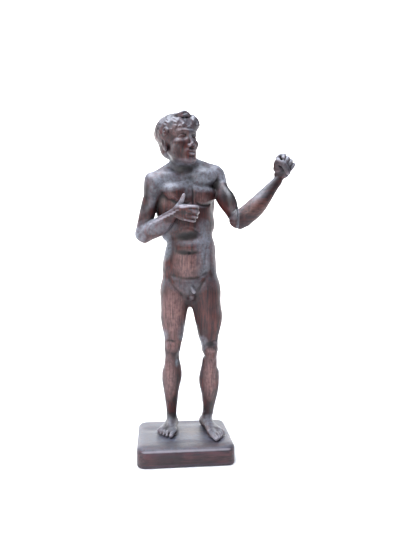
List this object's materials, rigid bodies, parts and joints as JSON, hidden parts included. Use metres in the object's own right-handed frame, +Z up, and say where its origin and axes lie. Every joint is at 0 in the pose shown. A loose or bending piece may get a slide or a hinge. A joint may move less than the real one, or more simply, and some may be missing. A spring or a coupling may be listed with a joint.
{
  "type": "wooden athlete sculpture",
  "caption": "Carved dark hardwood figure of a nude athlete in a boxer's stance, one arm raised, standing barefoot on a low rectangular plinth.",
  "frame": {"origin": "centre of the plinth's underside", "axes": "+Z up through the standing figure, -Y the way the figure faces, +X towards its raised left arm"},
  "size_m": [0.1297, 0.06, 0.2818],
  "materials": {
    "carved_wood": "polished dark hardwood",
    "forearm_wood": "polished dark hardwood, slightly redder",
    "plinth_wood": "polished dark hardwood"
  },
  "bodies": {
    "root": {"figure": "carved_wood", "left_forearm": "forearm_wood", "plinth": "plinth_wood"}
  },
  "joints": []
}
